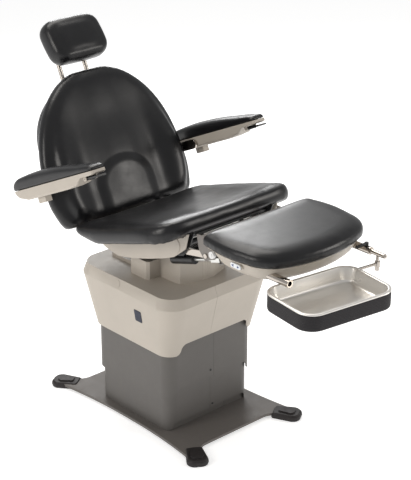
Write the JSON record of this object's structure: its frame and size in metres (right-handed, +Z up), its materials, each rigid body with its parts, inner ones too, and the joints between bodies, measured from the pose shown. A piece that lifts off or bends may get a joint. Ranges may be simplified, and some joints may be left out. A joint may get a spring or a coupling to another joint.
{
  "type": "podiatry chair",
  "caption": "Powered podiatry chair with lifting pedestal, tilting seat, reclining back, adjustable headrest, swing arms, hinged foot section and swivel tray.",
  "frame": {"origin": "on the floor under the centre of the lift column", "axes": "+Z up, -Y towards the feet of a seated patient, +X to the patient's left"},
  "size_m": [0.7756, 1.5388, 1.296],
  "materials": {
    "plate_paint": "satin powder coat",
    "foot_rubber": "matte",
    "cover_grey": "fine matte texture",
    "shroud_beige": "satin",
    "tube_alloy": "anodised",
    "glide_white": "matte",
    "steel_bright": "brushed",
    "steel_black": "satin",
    "chrome": "polished",
    "vinyl_black": "semi-gloss vinyl",
    "shell_black": "satin",
    "badge_blue": "gloss",
    "button_beige": "gloss",
    "case_grey": "satin",
    "channel_grey": "satin",
    "disc_white": "gloss",
    "switch_white": "gloss",
    "band_black": "ribbed",
    "pan_steel": "brushed"
  },
  "bodies": {
    "base": {"base_plate": "plate_paint", "foot_caps": "foot_rubber", "lower_cover_right": "cover_grey", "lower_cover_left": "cover_grey", "kick_panel": "cover_grey", "power_inlet": "shell_black", "control_box": "case_grey", "column_outer_tube": "tube_alloy", "lift_spindle": "steel_bright", "lift_motor": "case_grey", "lower_cover_screw": "steel_black"},
    "lift_mid": {"mid_cover_right": "cover_grey", "mid_cover_left": "cover_grey", "column_mid_tube": "tube_alloy", "lower_glide_pads": "glide_white", "lift_ram_mid": "tube_alloy", "mid_cover_screw": "steel_black"},
    "lift_top": {"shroud_right": "shroud_beige", "shroud_left": "shroud_beige", "plug_button": "button_beige", "side_plate": "badge_blue", "column_inner_tube": "tube_alloy", "upper_glide_pads": "glide_white", "lift_ram_upper": "tube_alloy", "lift_head": "steel_black", "tilt_actuator_body": "case_grey"},
    "tilt_rod": {"tilt_actuator_rod": "steel_bright"},
    "seat": {"seat_frame": "steel_black", "tilt_shaft": "steel_bright", "seat_cushion": "vinyl_black", "seat_shell_right": "shroud_beige", "seat_shell_left": "shroud_beige", "foot_hinge_brackets": "chrome", "back_actuator_body": "case_grey", "foot_actuator_body": "steel_black"},
    "back_rod": {"back_actuator_rod": "steel_bright"},
    "foot_rod": {"foot_actuator_rod": "steel_bright"},
    "back": {"back_frame": "steel_black", "back_shell": "shell_black", "back_cushion": "vinyl_black", "arm_brackets": "chrome"},
    "headrest_slide": {"headrest_posts": "chrome"},
    "headrest": {"headrest_bracket": "steel_black", "headrest_cushion": "vinyl_black"},
    "arm_right": {"arm_shell_right": "shroud_beige", "arm_pad_right": "vinyl_black"},
    "arm_left": {"arm_shell_left": "shroud_beige", "arm_pad_left": "vinyl_black"},
    "lever_right": {"arm_lever_right": "steel_black"},
    "lever_left": {"arm_lever_left": "steel_black"},
    "foot_link": {"foot_frame": "channel_grey", "channel_discs": "disc_white"},
    "foot_carriage": {"foot_pan": "shroud_beige", "foot_cushion": "vinyl_black", "tray_sockets": "chrome"},
    "rocker": {"switch_rocker": "switch_white"},
    "clamp": {"clamp_lever": "steel_black"},
    "tray_arm": {"tray_arm": "chrome"},
    "tray": {"tray_band": "band_black", "tray_pan": "pan_steel"}
  },
  "joints": [
    {"name": "lift_lower", "type": "slide", "parent": "base", "child": "lift_mid", "axis": [0, 0, -1], "range_m": [-0.04, 0.12]},
    {"name": "lift_upper", "type": "slide", "parent": "lift_mid", "child": "lift_top", "axis": [0, 0, -1], "range_m": [-0.04, 0.12]},
    {"name": "seat_tilt", "type": "hinge", "parent": "lift_top", "child": "seat", "pos_m": [0, -0.229, 0.739], "axis": [1, 0, 0], "range_deg": [-5, 17.5]},
    {"name": "tilt_rod_slide", "type": "slide", "parent": "lift_top", "child": "tilt_rod", "axis": [0, 0, 1], "range_m": [-0.0181, 0.063]},
    {"name": "back_recline", "type": "hinge", "parent": "seat", "child": "back", "pos_m": [0, 0.15674, 0.64883], "axis": [-1, 0, 0], "range_deg": [0, 70]},
    {"name": "back_rod_slide", "type": "slide", "parent": "seat", "child": "back_rod", "axis": [0, -0.9537, 0.3007], "range_m": [0, 0.0552]},
    {"name": "foot_tilt", "type": "hinge", "parent": "seat", "child": "foot_link", "pos_m": [0, -0.3618, 0.73683], "axis": [-1, 0, 0], "range_deg": [-72.5, 17.5]},
    {"name": "foot_rod_slide", "type": "slide", "parent": "seat", "child": "foot_rod", "axis": [0, -0.9537, 0.3007], "range_m": [-0.0357, 0.0087]},
    {"name": "foot_extend", "type": "slide", "parent": "foot_link", "child": "foot_carriage", "axis": [0, -1, 0], "range_m": [0, 0.1]},
    {"name": "headrest_height", "type": "slide", "parent": "back", "child": "headrest_slide", "axis": [0, 0.4226, 0.9063], "range_m": [0, 0.1]},
    {"name": "headrest_tilt", "type": "hinge", "parent": "headrest_slide", "child": "headrest", "pos_m": [0, 0.56134, 1.18287], "axis": [1, 0, 0], "range_deg": [-30, 18]},
    {"name": "arm_right_swing", "type": "hinge", "parent": "back", "child": "arm_right", "pos_m": [-0.354, 0.24537, 0.82708], "axis": [-1, 0, 0], "range_deg": [-60, 85]},
    {"name": "arm_left_swing", "type": "hinge", "parent": "back", "child": "arm_left", "pos_m": [0.354, 0.24537, 0.82708], "axis": [-1, 0, 0], "range_deg": [-60, 85]},
    {"name": "arm_lever_right_pull", "type": "hinge", "parent": "arm_right", "child": "lever_right", "pos_m": [-0.354, -0.00707, 0.94589], "axis": [1, 0, 0], "range_deg": [0, 14], "stiffness_Nm_per_rad": 1.5, "springref_deg": -2.86},
    {"name": "arm_lever_left_pull", "type": "hinge", "parent": "arm_left", "child": "lever_left", "pos_m": [0.354, -0.00707, 0.94589], "axis": [1, 0, 0], "range_deg": [0, 14], "stiffness_Nm_per_rad": 1.5, "springref_deg": -2.86},
    {"name": "rocker_press", "type": "hinge", "parent": "foot_carriage", "child": "rocker", "pos_m": [-0.227, -0.5548, 0.78383], "axis": [0, 0, 1], "range_deg": [-2.5, 2.5], "stiffness_Nm_per_rad": 0.6},
    {"name": "clamp_turn", "type": "hinge", "parent": "foot_carriage", "child": "clamp", "pos_m": [0.18, -0.7138, 0.78183], "axis": [0, 0, 1], "range_deg": [0, 80]},
    {"name": "tray_arm_slide", "type": "slide", "parent": "foot_carriage", "child": "tray_arm", "axis": [0, -1, 0], "range_m": [0, 0.05]},
    {"name": "tray_swivel", "type": "hinge", "parent": "tray_arm", "child": "tray", "pos_m": [0.18, -0.7618, 0.72483], "axis": [0, 0, 1], "range_deg": [0, 110]}
  ],
  "couplings": [
    {"joint": "lift_upper", "follows": "lift_lower", "ratio": 1},
    {"joint": "tilt_rod_slide", "follows": "seat_tilt", "m_per_rad": 0.206},
    {"joint": "back_rod_slide", "follows": "back_recline", "m_per_rad": 0.04507},
    {"joint": "foot_rod_slide", "follows": "foot_tilt", "m_per_rad": 0.0281}
  ]
}
